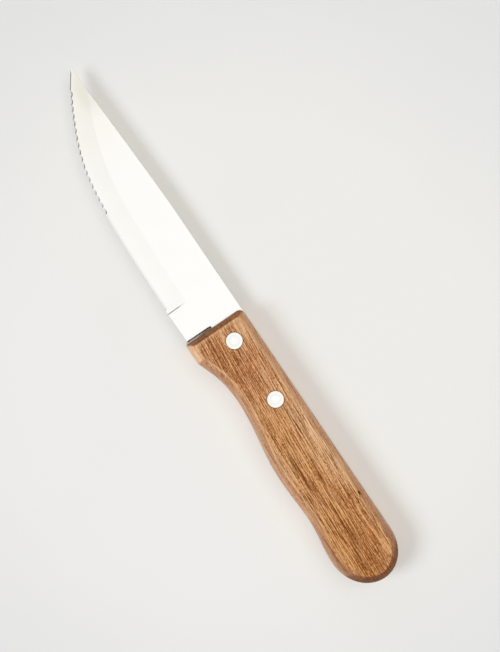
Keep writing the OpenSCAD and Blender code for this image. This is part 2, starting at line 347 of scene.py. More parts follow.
def finish_piece(piece, node, material=None, crease=30):
    """Turns the piece into metres, sets its creases and finish, and hangs it in the frame."""
    piece.data.transform(Matrix.Scale(MM, 4))
    mesh = piece.data
    mesh.shade_smooth()
    mesh.set_sharp_from_angle(angle=math.radians(crease))
    if material:
        mesh.materials.append(material)
    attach(piece, "root")
    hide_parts(node)


# Blade mesh: lines across the blade, with points in rows from its back to its edge.
# First its eased and rolled edges, and the metal left at a scallop's rim
EASE = 0.1
SHOULDER_ROLL = 0.9
SHOULDER_ROLL_H = 0.45
TIP_BEVEL_W = 0.42
RIM_T = 0.02

# How far in from the edge a line turns square to it, and the stretches where that sets in
FOOT_DEPTH = 3.2
FOOT_SHARE = 0.42
TURN_L = 6
TIP_TURN_L = 1.2
TURN_RUN = 0.6

# Limits where the blade runs out at its tip and at the end of its tang
BORDER_LEAST_SHARE = 0.2
EASE_MOST_SHARE = 0.2
BEVEL_MOST_SHARE = 0.3
TANG_END_H = 0.05
ARC_SHARE = 0.985

# Search for where a groove meets the blade's two faces
SEARCH_REACH = 0.4
HALVINGS = 40

# Rows
FLAT_ROWS = 4
BAND_ROWS = 14
LEAD_ROWS = 3
BEVEL_ROWS = 7
BORDER_ROW = 1 + FLAT_ROWS
CREASE_ROW = BORDER_ROW + BAND_ROWS + LEAD_ROWS

# Lines, and the gap that they leave before and past the teeth
ARC_LINES = 24
TANG_LINES = 12
ROLL_LINES = 8
RICASSO_LINES = 6
PLUNGE_LINES = 6
STEP_LINES = 3
PLAIN_EDGE_LINES = 48
SCALLOP_LINES = 16
TIP_LINES = 20
BEFORE_TEETH = 0.08
PAST_TEETH = 0.15

# How near a point lies to what it belongs to, and how far the border stays crisp
TEETH_NEAR = 0.01
BORDER_NEAR = 0.004
CRISP_SHARE = 0.88

# Steps round a rivet hole in the tang
HOLE_STEPS = 64


def even(first, last, steps):
    """Evenly spaced values from the first to the last."""
    return [mix(first, last, i / steps) for i in range(steps + 1)]


def places_between(first, last, steps):
    """Evenly spaced places after the first one, up to the last."""
    return [(mix(first[0], last[0], s), mix(first[1], last[1], s)) for s in even(0, 1, steps)[1:]]


def tang_line(x, belly_y):
    """One line across the tang, from its back to its belly side."""
    back = back_at(x)
    ease = min(EASE, (belly_y - back) / FLAT_ROWS)
    line = []
    for i, y in enumerate([back] + even(back + ease, belly_y, FLAT_ROWS)):
        half = BLADE_T / 2 - (ease if i == 0 else 0)
        line.append((x, y, half, -half))
    return line


def ricasso_line(x):
    """One line across the unground stretch in front of the handle."""
    back = back_at(x)
    share = (x - SHOULDER_GAP) / (RICASSO_L - SHOULDER_GAP)
    border = mix(TANG_Y, grind_at(RICASSO_L), share)
    ys = [back] + even(back + EASE, border, FLAT_ROWS)
    ys += even(border, HEEL_Y - BEVEL_W, BAND_ROWS + LEAD_ROWS)[1:]
    ys += even(HEEL_Y - BEVEL_W, HEEL_Y, BEVEL_ROWS)[1:]
    last = len(ys) - 1
    roll = max(0, 1 - (x - SHOULDER_GAP) / SHOULDER_ROLL)
    rolled = SHOULDER_ROLL_H * (1 - math.sqrt(1 - roll * roll))
    line = []
    for i, y in enumerate(ys):
        drop = max(EASE if i in (0, last) else 0, rolled if i > BORDER_ROW else 0)
        half = BLADE_T / 2 - drop
        line.append((x + front_at(y) * (1 - share), y, half, -half))
    return line


def crossing(inside, outside, height_gap):
    """Where a falling height gap reaches zero between two places."""
    low, high = 0.0, 1.0
    for _ in range(HALVINGS):
        middle = (low + high) / 2
        if height_gap(mix(inside[0], outside[0], middle), mix(inside[1], outside[1], middle)) > 0:
            low = middle
        else:
            high = middle
    return mix(inside[0], outside[0], low), mix(inside[1], outside[1], low)


def toothed_end(x, places, foot, inward):
    """Ends a line on the slope of its scallop, which is ground from the upper face alone."""
    index = sum(x < t for t in TEETH_XS) - 1
    nearest = [i for i in (index - 1, index, index + 1) if 0 <= i < SCALLOPS]

    def over_ground(px, py):
        return groove_floor_at(px, py, nearest) - thickness_at(px, py) / 2

    def over_underside(px, py):
        return groove_floor_at(px, py, nearest) + thickness_at(px, py) / 2 - RIM_T

    far = (x - inward[0] * SEARCH_REACH, edge_at(x) - inward[1] * SEARCH_REACH)
    crease = crossing(foot, far, over_ground)
    rim = crossing(foot, far, over_underside)
    places = places + places_between(foot, crease, LEAD_ROWS) + places_between(crease, rim, BEVEL_ROWS)
    line = []
    for i, (px, py) in enumerate(places):
        half = thickness_at(px, py) / 2
        top = half
        if i > CREASE_ROW:
            top = min(half, max(groove_floor_at(px, py, nearest), -half + RIM_T))
        line.append((px, py, top, -half))
    return line


def plain_end(x, places, foot, inward):
    """Ends a line on the sharpening bevel past the step, which the tip has on its upper face alone."""
    edge = (x, edge_at(x))
    at_tip = x > TIP_EDGE_X
    most = BEVEL_MOST_SHARE * (edge[1] - back_at(x))
    width = min(TIP_BEVEL_W if at_tip else BEVEL_W, most)
    crease = (edge[0] + inward[0] * width, edge[1] + inward[1] * width)
    places = places + places_between(foot, crease, LEAD_ROWS) + places_between(crease, edge, BEVEL_ROWS)
    crease_half = thickness_at(*crease) / 2
    line = []
    for i, (px, py) in enumerate(places):
        half = thickness_at(px, py) / 2
        top, low = half, -half
        if i > CREASE_ROW and x > STEP_X:
            share = (i - CREASE_ROW) / BEVEL_ROWS
            top = mix(crease_half, EDGE_T / 2 - (crease_half if at_tip else 0), share)
            if not at_tip:
                low = mix(-crease_half, -EDGE_T / 2, share)
        line.append((px, py, top, low))
    return line


def ground_line(x):
    """One line across the ground part: straight down from the back, then square to the edge."""
    lean = edge_lean(x, TURN_RUN)
    inward = (math.sin(lean) * smooth_step((x - STEP_X) / TURN_L), -math.cos(lean))
    deep = min(FOOT_DEPTH, FOOT_SHARE * (edge_at(x) - back_at(x)))
    foot = (x + inward[0] * deep, edge_at(x) + inward[1] * deep)
    top_x = mix(foot[0], x, smooth_step((x - BLADE_L + TIP_TURN_L) / TIP_TURN_L))
    back = back_at(top_x)
    border = max(grind_at(top_x), mix(back, foot[1], BORDER_LEAST_SHARE))
    ease = min(EASE, EASE_MOST_SHARE * (border - back))
    places = [(top_x, back)] + [(top_x, y) for y in even(back + ease, border, FLAT_ROWS)]
    places += places_between((top_x, border), foot, BAND_ROWS)
    toothed = TEETH_END_X <= x <= TIP_EDGE_X
    line = (toothed_end if toothed else plain_end)(x, places, foot, inward)
    px, py, top, low = line[0]
    line[0] = (px, py, top - ease, low + ease)
    return line


def ground_line_places():
    """Where the lines across the ground part lie, from the plunge line to the tip."""
    xs = even(RICASSO_L, RICASSO_L + PLUNGE_L, PLUNGE_LINES)
    xs += even(RICASSO_L + PLUNGE_L, STEP_X, STEP_LINES)[1:]
    xs += [STEP_X + STEP_L]
    xs += even(STEP_X + STEP_L, TEETH_END_X - BEFORE_TEETH, PLAIN_EDGE_LINES)[1:]
    xs += [TEETH_END_X]
    for heel_side, tip_side in zip(TEETH_XS[::-1], TEETH_XS[-2::-1]):
        xs += even(heel_side, tip_side, SCALLOP_LINES)[1:]
    xs += [TIP_EDGE_X + PAST_TEETH]
    xs += even(TIP_EDGE_X + PAST_TEETH, BLADE_L, TIP_LINES)[1:]
    return xs


def blade_lines():
    """All lines from the tang's end to the tip, and the number of the shoulder's line."""
    lines = []
    arc_end = math.acos((SAW_R - TANG_Y + back_at(-TANG_L - SAW_R)) / SAW_R)
    for angle in even(arc_end * ARC_SHARE, 0, ARC_LINES):
        x = -TANG_L - SAW_R * math.sin(angle)
        arc_y = TANG_Y - SAW_R + SAW_R * math.cos(angle)
        lines.append(tang_line(x, max(arc_y, back_at(x) + TANG_END_H)))
    lines += [tang_line(x, TANG_Y) for x in even(-TANG_L, SHOULDER_GAP, TANG_LINES)[1:-1]]
    shoulder = len(lines)
    for angle in even(0, math.pi / 2, ROLL_LINES):
        lines.append(ricasso_line(SHOULDER_GAP + SHOULDER_ROLL * (1 - math.cos(angle))))
    ricasso_xs = even(SHOULDER_GAP + SHOULDER_ROLL, RICASSO_L, RICASSO_LINES)[1:-1]
    lines += [ricasso_line(x) for x in ricasso_xs]
    lines += [ground_line(x) for x in ground_line_places()]
    return lines, shoulder


def make_blade():
    lines, shoulder = blade_lines()
    points, index = [], []
    for line in lines:
        row = []
        for x, y, top, low in line:
            row.append((len(points), len(points) + 1))
            points.append((x + FRONT_X, y, top + MID_Z))
            points.append((x + FRONT_X, y, low + MID_Z))
        index.append(row)

    faces, in_edge_steel = [], []

    def add(face, edge_steel=False):
        faces.append(face)
        in_edge_steel.append(int(edge_steel))

    for a, b in zip(index, index[1:]):
        rows = min(len(a), len(b)) - 1
        past_plain_edge = points[a[-1][0]][0] - FRONT_X > TEETH_END_X - TEETH_NEAR
        for j in range(rows):
            add([a[j][0], b[j][0], b[j + 1][0], a[j + 1][0]], past_plain_edge and j >= CREASE_ROW)
            add([a[j][1], a[j + 1][1], b[j + 1][1], b[j][1]])
        add([a[0][0], a[0][1], b[0][1], b[0][0]])
        add([a[rows][0], b[rows][0], b[rows][1], a[rows][1]])
    for row, first in ((index[shoulder], BORDER_ROW), (index[0], 0), (index[-1], 0)):
        for j in range(first, len(row) - 1):
            add([row[j][0], row[j + 1][0], row[j + 1][1], row[j][1]])

    piece = new_object("knife_blade", points, faces)
    piece.data.materials.append(satin_steel)
    piece.data.materials.append(ground_edge)
    piece.data.polygons.foreach_set("material_index", in_edge_steel)
    tidy_mesh(piece, merge=0.0002)
    radius = SLEEVE_D / 2 + SLEEVE_PLAY
    profile = [(0, -OVERRUN), (radius, -OVERRUN), (radius, OVERRUN), (0, OVERRUN)]
    cut_away(piece, [lathe("hole", profile, (FRONT_X - x, 0, MID_Z), HOLE_STEPS) for x in RIVET_PLACES])
    finish_piece(piece, "blade", crease=14)
    mark_grind_border(piece)


def mark_grind_border(piece):
    """Keeps the border of the hollow-ground band crisp, apart from its end at the tip."""
    mesh = piece.data
    sharp = mesh.attributes.get("sharp_edge") or mesh.attributes.new("sharp_edge", "BOOLEAN", "EDGE")
    flags = np.zeros(len(mesh.edges), bool)
    sharp.data.foreach_get("value", flags)
    on_border = []
    for point in mesh.vertices:
        x, y = point.co.x / MM - FRONT_X, point.co.y / MM
        inside = RICASSO_L < x < CRISP_SHARE * BLADE_L
        on_border.append(inside and abs(y - grind_at(x)) < BORDER_NEAR)
    for edge in mesh.edges:
        if on_border[edge.vertices[0]] and on_border[edge.vertices[1]]:
            flags[edge.index] = True
    sharp.data.foreach_set("value", flags)


# Handle mesh: the outer outline, drawn in towards the inner one at its rounded edges.
# Steps along the outline, through the rounding and along the slot's arc
CORNER_STEPS = 12
SIDE_STEPS = 150
BUTT_STEPS = 40
CREST_STEPS = 6
ROUND_STEPS = 12
SLOT_STEPS = 64

# Faces at least so level are shaded flat
FLAT_NORMAL = 0.99999

BULGE_X = HANDLE_L - BULGE_L
LAST_SHARE = BELLY_SHARES[-1]
belly_share_at = curve_through(
    [(KINK_X / HANDLE_L, 1)] + BELLY_SHARES
    + [(BULGE_X / HANDLE_L, BULGE_SHARE), (2 * BULGE_X / HANDLE_L - LAST_SHARE[0], LAST_SHARE[1])]
)


def belly_at(x):
    """The handle's belly, with x counted backwards from the front face."""
    return BELLY_Y if x < KINK_X else HANDLE_H * belly_share_at(x / HANDLE_L) - RIVET_DROP


def belly_lean(x):
    return math.atan((belly_at(x + SLOPE_RUN) - belly_at(x - SLOPE_RUN)) / (2 * SLOPE_RUN))


def handle_outline(front_in, back_in, belly_in, butt_in, back_r, belly_r):
    """The closed outline of the handle, drawn in by an inset on each side."""
    belly_high = BELLY_Y - belly_in
    bulge_high = BULGE_SHARE * HANDLE_H - RIVET_DROP - belly_in
    back_end = back_at(BUTT_L - HANDLE_L) + back_in
    back_side, belly_side = [], []
    for angle in even(0, math.pi / 2, CORNER_STEPS):
        back_x = -front_in - back_r * (1 - math.cos(angle))
        back_y = back_at(back_x) + back_in + back_r * (1 - math.sin(angle))
        back_side.append((back_x + front_at(back_y), back_y))
        belly_x = -front_in - belly_r * (1 - math.cos(angle))
        high_y = belly_high - belly_r * (1 - math.sin(angle))
        belly_side.append((belly_x + front_at(high_y), high_y))
    for d in even(KINK_X, BULGE_X, SIDE_STEPS)[:-1]:
        lean = belly_lean(d)
        back_side.append((-d, back_at(-d) + back_in))
        belly_side.append((-d - belly_in * math.sin(lean), belly_at(d) - belly_in * math.cos(lean)))
    for angle in even(0, math.pi / 2, BUTT_STEPS)[:-1]:
        sine, cosine = math.sin(angle), math.cos(angle)
        back_x = BUTT_L - HANDLE_L - (BUTT_L - butt_in) * sine
        back_side.append((back_x, mix(BUTT_Y, back_end, cosine)))
        belly_x = -BULGE_X - (BULGE_L - butt_in) * sine
        belly_side.append((belly_x, mix(BUTT_Y, bulge_high, cosine)))
    return back_side + [(butt_in - HANDLE_L, BUTT_Y)] + belly_side[::-1]


def rounding_levels():
    """Heights through the rounded edges, each with its share of the way to the inner outline."""
    levels = [(0, 1 + CREST_SHARE)]
    for turn in even(0, 1, CREST_STEPS)[1:]:
        keep = (1 - turn) ** 2
        levels.append((ROUND_H * CREST_SHARE * turn * turn, 1 + CREST_SHARE * (keep - turn * turn)))
    for turn in even(CREST_SHARE, 1, ROUND_STEPS)[1:]:
        angle = turn * math.pi / 2
        depth = mix(1 - math.cos(angle), turn, CHAMFER_SHARE)
        levels.append((ROUND_H * depth, mix(1 - math.sin(angle), 1 - turn, CHAMFER_SHARE)))
    return levels + [(HANDLE_T - z, share) for z, share in levels[::-1]]


def handle_cutters():
    """The saw slot for the tang and, for each rivet, a bore with a seat at both ends."""
    saw_r = SAW_R + SLOT_PLAY
    front = SHOULDER_GAP + OVERRUN
    path = [(front, TANG_Y + SLOT_PLAY), (-TANG_L, TANG_Y + SLOT_PLAY)]
    for angle in even(0, math.pi / 2, SLOT_STEPS)[1:]:
        path.append((-TANG_L - saw_r * math.sin(angle), TANG_Y - SAW_R + saw_r * math.cos(angle)))
    path.append((front, TANG_Y - SAW_R))
    path = [(x + FRONT_X, y) for x, y in path]
    slot_half = BLADE_T / 2 + SLOT_PLAY
    bore, seat = SLEEVE_D / 2 + SLEEVE_PLAY, HEAD_D / 2 + HEAD_PLAY
    profile = [
        (0, -OVERRUN), (seat, -OVERRUN), (seat, SEAT_DEPTH), (bore, SEAT_DEPTH),
        (bore, HANDLE_T - SEAT_DEPTH), (seat, HANDLE_T - SEAT_DEPTH),
        (seat, HANDLE_T + OVERRUN), (0, HANDLE_T + OVERRUN),
    ]
    cutters = [plate("slot", path, MID_Z - slot_half, MID_Z + slot_half)]
    return cutters + [lathe("seat", profile, (FRONT_X - x, 0, 0)) for x in RIVET_PLACES]


def make_handle():
    outer = handle_outline(0, 0, 0, 0, BACK_CORNER_R, BELLY_CORNER_R)
    inner = handle_outline(
        FRONT_ROUND_W, BACK_ROUND_W, BELLY_ROUND_W, BUTT_ROUND_W,
        max(BACK_CORNER_R - FRONT_ROUND_W, CORNER_LEAST_R),
        max(BELLY_CORNER_R - FRONT_ROUND_W, CORNER_LEAST_R),
    )
    levels = rounding_levels()
    count = len(outer)
    points = [
        (mix(o[0], i[0], share) + FRONT_X, mix(o[1], i[1], share), z)
        for z, share in levels for o, i in zip(outer, inner)
    ]
    faces = [list(range(count))[::-1], [(len(levels) - 1) * count + i for i in range(count)]]
    for k in range(len(levels) - 1):
        for i in range(count):
            j = (i + 1) % count
            faces.append([k * count + i, k * count + j, (k + 1) * count + j, (k + 1) * count + i])
    piece = new_object("wooden_handle", points, faces)
    tidy_mesh(piece)
    cut_away(piece, handle_cutters())
    finish_piece(piece, "handle", oiled_wood)
    for face in piece.data.polygons:
        if abs(face.normal.z) > FLAT_NORMAL:
            face.use_smooth = False


# Rivets, with the width of the heads' turned rims
HEAD_RIM = 0.16
HEAD_RIM_STEPS = 6
HEAD_MIDDLE_SHARE = 0.5


def head_profile():
    """Flush head with a softly turned rim, from its middle outwards, then down its side."""
    radius = HEAD_D / 2
    rim = []
    for angle in even(0, math.pi / 2, HEAD_RIM_STEPS):
        rim.append((radius - HEAD_RIM * (1 - math.sin(angle)), -HEAD_RIM * (1 - math.cos(angle))))
    return [(0, 0), (radius * HEAD_MIDDLE_SHARE, 0)] + rim + [(radius, -HEAD_T)]


def stud_profile():
    """Head and solid pin, bevelled at its end."""
    return head_profile() + [
        (PIN_D / 2, -HEAD_T), (PIN_D / 2, -HEAD_T - PIN_L + PIN_BEVEL),
        (PIN_D / 2 - PIN_BEVEL, -HEAD_T - PIN_L), (0, -HEAD_T - PIN_L),
    ]


def sleeve_profile():
    """Head and hollow sleeve, closed by a web under the head."""
    hole_r = PIN_D / 2 + PIN_PLAY
    return head_profile() + [
        (SLEEVE_D / 2, -HEAD_T), (SLEEVE_D / 2, -HEAD_T - SLEEVE_L), (hole_r, -HEAD_T - SLEEVE_L),
        (hole_r, -HEAD_T - SLEEVE_WEB), (0, -HEAD_T - SLEEVE_WEB),
    ]


def make_rivets():
    ends = (
        ("stud", stud_profile(), HEAD_RECESS, -1),
        ("sleeve", sleeve_profile(), HANDLE_T - HEAD_RECESS, 1),
    )
    for where, x in zip(("front", "rear"), RIVET_PLACES):
        for end, profile, head_z, up in ends:
            turned = [(radius, up * height) for radius, height in profile]
            name = f"{where}_rivet_{end}"
            piece = lathe(f"{name}_turned", turned, (FRONT_X - x, 0, head_z))
            finish_piece(piece, name, rivet_aluminium, crease=40)


# Shader tools
def node(tree, kind, inputs=None, **settings):
    """A new node, whose inputs take another node's output or a value."""
    made = tree.nodes.new(kind)
    for name, value in settings.items():
        setattr(made, name, value)
    for name, value in (inputs or {}).items():
        if isinstance(value, bpy.types.NodeSocket):
            tree.links.new(value, made.inputs[name])
        else:
            made.inputs[name].default_value = value
    return made


def maths(tree, operation, a, b=0.0, c=0.0, clamp=False):
    inputs = {0: a, 1: b, 2: c}
    return node(tree, "ShaderNodeMath", inputs, operation=operation, use_clamp=clamp).outputs[0]


def product(tree, first, *others):
    for other in others:
        first = maths(tree, "MULTIPLY", first, other)
    return first


def between(tree, value, low, high, to_low=0.0, to_high=1.0, kind="SMOOTHSTEP"):
    """Maps a value's range onto another."""
    inputs = {"Value": value, "From Min": low, "From Max": high, "To Min": to_low, "To Max": to_high}
    return node(tree, "ShaderNodeMapRange", inputs, interpolation_type=kind).outputs["Result"]


def blend_colours(tree, share, a, b, kind="MIX"):
    """Goes from one colour to the other, each an output or three numbers."""
    a, b = [(*colour, 1) if isinstance(colour, tuple) else colour for colour in (a, b)]
    inputs = {0: share, 6: a, 7: b}
    return node(tree, "ShaderNodeMix", inputs, data_type="RGBA", blend_type=kind).outputs[2]


def tinted(tree, share, colour, tint):
    """The colour, multiplied by a tint by as much as the share says."""
    return blend_colours(tree, share, colour, tint, "MULTIPLY")


def vector_maths(tree, operation, a, b=(0, 0, 0)):
    return node(tree, "ShaderNodeVectorMath", {0: a, 1: b}, operation=operation).outputs


def stretched(tree, vector, scale):
    return vector_maths(tree, "MULTIPLY", vector, scale)[0]


def separated(tree, vector):
    return node(tree, "ShaderNodeSeparateXYZ", {0: vector}).outputs


def distance_to(tree, place, spot, along, across):
    """Distance in the flat plane from a spot, counted in the spot's own reach along and across."""
    offset = vector_maths(tree, "SUBTRACT", place, (*spot, 0))[0]
    offset = stretched(tree, offset, (1 / along, 1 / across, 0))
    return vector_maths(tree, "LENGTH", offset)["Value"]


def near(tree, place, spot, full, none, strength=1.0):
    """The strength within one share of a spot's reach, fading to nothing at the other."""
    return between(tree, distance_to(tree, place, *spot), full, none, strength, 0.0)


def noise(tree, vector, scale=1.0, detail=2.0, roughness=0.5):
    inputs = {"Vector": vector, "Scale": scale, "Detail": detail, "Roughness": roughness}
    return node(tree, "ShaderNodeTexNoise", inputs).outputs[0]


def ramp(tree, share, stops):
    """A colour that follows a table of places and colours."""
    made = node(tree, "ShaderNodeValToRGB", {0: share})
    band = made.color_ramp
    while len(band.elements) < len(stops):
        band.elements.new(0.5)
    for element, (place, colour) in zip(band.elements, stops):
        element.position = place
        element.color = (*colour, 1)
    return made.outputs[0]


def new_group(name, inputs, outputs):
    tree = bpy.data.node_groups.new(name, "ShaderNodeTree")
    for label, kind, value in inputs:
        socket = tree.interface.new_socket(label, in_out="INPUT", socket_type=kind)
        socket.default_value = value
    for label, kind in outputs:
        tree.interface.new_socket(label, in_out="OUTPUT", socket_type=kind)
    return tree, tree.nodes.new("NodeGroupInput"), tree.nodes.new("NodeGroupOutput")


def new_material(name, **constants):
    """A material with its shader, whose even settings sit on the shader's own sockets."""
    material = bpy.data.materials.new(name)
    material.use_nodes = True
    tree = material.node_tree
    shader = tree.nodes["Principled BSDF"]
    for label, value in constants.items():
        shader.inputs[label.replace("_", " ")].default_value = value
    return material, tree, shader


def place_in_mm(tree):
    """The place on the piece in the frame's millimetres, and the coordinates that it comes from."""
    coordinates = tree.nodes.new("ShaderNodeTexCoord")
    return stretched(tree, coordinates.outputs["Object"], (1 / MM,) * 3), coordinates


def give_finish(tree, shader, colour, roughness, height, strength, relief):
    """Feeds the shader its colour, its roughness and a relief in metres."""
    bump = node(tree, "ShaderNodeBump", {"Strength": strength, "Distance": relief, "Height": height})
    tree.links.new(colour, shader.inputs["Base Color"])
    tree.links.new(roughness, shader.inputs["Roughness"])
    tree.links.new(bump.outputs[0], shader.inputs["Normal"])


# Metal, all of which shows the lines that its grinding left; reliefs are in metres
FLOAT, VECTOR = "NodeSocketFloat", "NodeSocketVector"
LINE_RELIEF = 0.00002
# Painted shade on the blade: the stretch in which it darkens towards the tip, and a darker patch near
# the tip with its reach along and across, and their tints
TIP_SHADE_X = (100, 135)
TIP_SHADE_TINT = (0.99, 0.97, 0.945)
TIP_SHADE_PATCH = ((137.5, -8.5), 13, 6)
TIP_SHADE_PATCH_TINT = (0.9, 0.91, 0.88)
RING_COMES, RING_GOES = (1.0, 2.2), (2.5, 2.85)
RING_TINT = (0.925, 0.925, 0.92)
RIM_SHARES = (0.76, 0.95)
RIM_TINT = (1.0, 0.965, 0.9)


def make_grinding_lines():
    """Fine lines left by a wheel or belt, with a slow unevenness under them."""
    tree, given, out = new_group(
        "grinding_lines",
        [("Place", VECTOR, (0, 0, 0)), ("Line stretch", VECTOR, (1, 1, 1)), ("Depth", FLOAT, 0.5)],
        [("Height", FLOAT), ("Shade", FLOAT)],
    )
    along = stretched(tree, given.outputs["Place"], given.outputs["Line stretch"])
    fine = noise(tree, along, 1.0, 3, 0.6)
    broad = noise(tree, given.outputs["Place"], 0.12, 2, 0.5)
    height = product(tree, fine, given.outputs["Depth"])
    shade = maths(tree, "MULTIPLY_ADD", fine, 0.6, product(tree, broad, 0.4))
    tree.links.new(height, out.inputs["Height"])
    tree.links.new(shade, out.inputs["Shade"])
    return tree


grinding_lines = make_grinding_lines()


def lines_on(tree, place, stretch, depth):
    """Height and shade of the grinding lines, with one metal's own values."""
    inputs = {"Place": place, "Line stretch": stretch, "Depth": depth}
    made = node(tree, "ShaderNodeGroup", inputs, node_tree=grinding_lines)
    return made.outputs["Height"], made.outputs["Shade"]


def make_satin_steel():
    """The blade apart from its teeth, with painted shade towards the tip, deepest at a patch there."""
    material, tree, shader = new_material("satin_steel", Metallic=1.0)
    place, _ = place_in_mm(tree)
    height, shade = lines_on(tree, place, (9, 0.35, 9), 0.5)
    colour = ramp(tree, shade, [(0.3, (0.835, 0.828, 0.8)), (0.7, (0.87, 0.863, 0.835))])
    # Painted shade, darker towards the tip and most at a patch near it
    tip_shade = between(tree, separated(tree, place)["X"], *TIP_SHADE_X)
    colour = tinted(tree, tip_shade, colour, TIP_SHADE_TINT)
    colour = tinted(tree, near(tree, place, TIP_SHADE_PATCH, 0.2, 1.1), colour, TIP_SHADE_PATCH_TINT)
    roughness = between(tree, shade, 0.3, 0.7, 0.17, 0.23)
    give_finish(tree, shader, colour, roughness, height, 0.05, LINE_RELIEF)
    return material


def make_ground_edge():
    """The slopes of the scallops and the tip's bevel, rougher than the flats."""
    material, tree, shader = new_material("ground_edge", Metallic=1.0)
    place, _ = place_in_mm(tree)
    height, shade = lines_on(tree, place, (14, 3, 6), 0.8)
    colour = ramp(tree, shade, [(0.3, (0.88, 0.87, 0.84)), (0.7, (0.97, 0.96, 0.93))])
    roughness = between(tree, shade, 0.3, 0.7, 0.3, 0.4)
    give_finish(tree, shader, colour, roughness, height, 0.12, LINE_RELIEF)
    return material


def make_rivet_aluminium():
    """Polished heads with a faint darker ring and a slightly yellow rim."""
    material, tree, shader = new_material("rivet_aluminium", Metallic=1.0)
    place, _ = place_in_mm(tree)
    height, shade = lines_on(tree, place, (1.2, 7, 1.2), 0.6)
    colour = ramp(tree, shade, [(0.3, (0.84, 0.84, 0.815)), (0.7, (0.9, 0.9, 0.88))])
    parts = separated(tree, place)
    from_rivet = maths(tree, "SUBTRACT", maths(tree, "ABSOLUTE", parts["X"]), RIVET_PITCH / 2)
    offset = node(tree, "ShaderNodeCombineXYZ", {"X": from_rivet, "Y": parts["Y"]}).outputs[0]
    away = vector_maths(tree, "LENGTH", offset)["Value"]
    ring = between(tree, away, *RING_COMES)
    ring = product(tree, ring, between(tree, away, *RING_GOES, 1.0, 0.0))
    colour = tinted(tree, ring, colour, RING_TINT)
    rim = between(tree, away, *[share * HEAD_D / 2 for share in RIM_SHARES])
    colour = tinted(tree, rim, colour, RIM_TINT)
    roughness = between(tree, shade, 0.3, 0.7, 0.3, 0.4)
    give_finish(tree, shader, colour, roughness, height, 0.1, LINE_RELIEF)
    return material


# Wood: layers of the grain, with stretch in the fibre, detail, roughness and share in the tone
GRAIN_LAYERS = {
    "streaks": ((0.03, 0.9, 0.4), 2, 0.6, 0.25),
    "bands": ((0.014, 0.16, 0.1), 2, 0.5, 0.25),
    "threads": ((0.05, 3.0, 0.9), 2, 0.65, 2.1),
    "mottle": ((0.11, 0.4, 0.3), 1, 0.5, 0.3),
    "specks": ((0.9, 3.2, 1.6), 1, 0.5, 1.2),
}
# Patches of darker or lighter wood: place, reach along and across, and strength
CLOUDS = [
    ((5.5, 3.2), (8, 2.4), -0.12), ((18, -5), (7, 2.5), 0.1), ((8, 6), (22, 9), -0.05),
    ((12, 9.5), (14, 5.5), -0.18), ((2, -3.5), (10, 3), -0.11), ((2, -7.2), (22, 1.4), 0.13),
    ((2, 15), (8, 2.4), -0.08), ((-13, 12), (6, 2.5), 0.07), ((-25, 11), (6, 3), -0.06),
    ((-28, -3.5), (20, 3), 0.07), ((-43, -5), (22, 2.6), 0.16), ((-35, 5.5), (11, 4), 0.17),
    ((-43, 11.5), (11, 3), 0.09), ((-55, 5), (8, 10), -0.08), ((-55, 12.5), (9, 3), -0.09),
    ((-63, 6.5), (9, 3), 0.1), ((-68, -2), (6, 4), -0.11), ((-79, 7), (11, 3), -0.26),
    ((-76, 11.5), (9, 2.6), 0.06), ((-79, 15.4), (10, 1), 0.1), ((-79, 18.3), (9, 2.4), -0.15),
    ((-82, 0), (10, 5), -0.04), ((-84, -5.8), (12, 1.5), 0.1), ((-95, 7.5), (9, 8), -0.15),
    ((-95, -1), (5, 3), 0.04), ((-66, 14), (7, 1.5), 0.16),
]
# Colours of the wood by its tone, from dark to light
WOOD_STOPS = [
    (0.16, (0.15, 0.048, 0.013)), (0.34, (0.31, 0.114, 0.034)), (0.5, (0.47, 0.21, 0.08)),
    (0.62, (0.6, 0.305, 0.135)), (0.8, (0.8, 0.49, 0.27)),
]
PORE_COLOUR = (0.13, 0.042, 0.012)
PIT_COLOUR = (0.035, 0.012, 0.005)
# Painted shade in the gap round the rivet heads
RIVET_GAP_SHADE_COLOUR = (0.16, 0.1, 0.06)
# Painted sheen on the rounded edges
ROUNDING_SHEEN_COLOUR = (0.46, 0.25, 0.145)
# Painted highlight on the facet in front of the kink
FACET_HIGHLIGHT_COLOUR = (0.95, 0.62, 0.38)
# Painted light on the outermost rounded edges
RIM_PAINTED_LIGHT_COLOUR = (0.82, 0.6, 0.46)
# Painted highlight along the crests
CREST_HIGHLIGHT_COLOUR = (0.85, 0.56, 0.31)
GOLDEN_TINT = (0.86, 0.72, 0.5)
RED_TINT = (0.99, 0.93, 0.92)
# Painted light and shade on the rounded edges of the back and of the belly side
BACK_PAINTED_LIGHT_TINT = (1.03, 0.99, 0.94)
BELLY_PAINTED_LIGHT_TINT = (0.92, 0.88, 0.88)
# Painted shade and sheen on the rounded edges near the butt
BUTT_SHADE_AND_SHEEN_TINT = (0.8, 0.8, 0.9)
# Darker end grain, partly painted shade on the front and butt faces
END_TINTS = [(0.5, (0.5, 0.4, 0.34)), (0.9, (0.58, 0.52, 0.49))]
PORE_RELIEF = 0.00008
# Places in the wood, each with its reach along and across
PIT = ((-67.8, -6.2), 1.1, 0.4)
HEARTWOOD = ((-82, 8), 34, 20)
MIDDLE_WOOD = ((-46, 6), 48, 9)
# The butt's end, where the wood turns darker and more golden
GOLDEN_BUTT_END = ((FRONT_X - HANDLE_L + BUTT_L, BUTT_Y), BUTT_L, 14)
RED_WOOD = ((6, 6), 26, 16)
FINGER_RECESS = ((-12, 12), 34, 9)
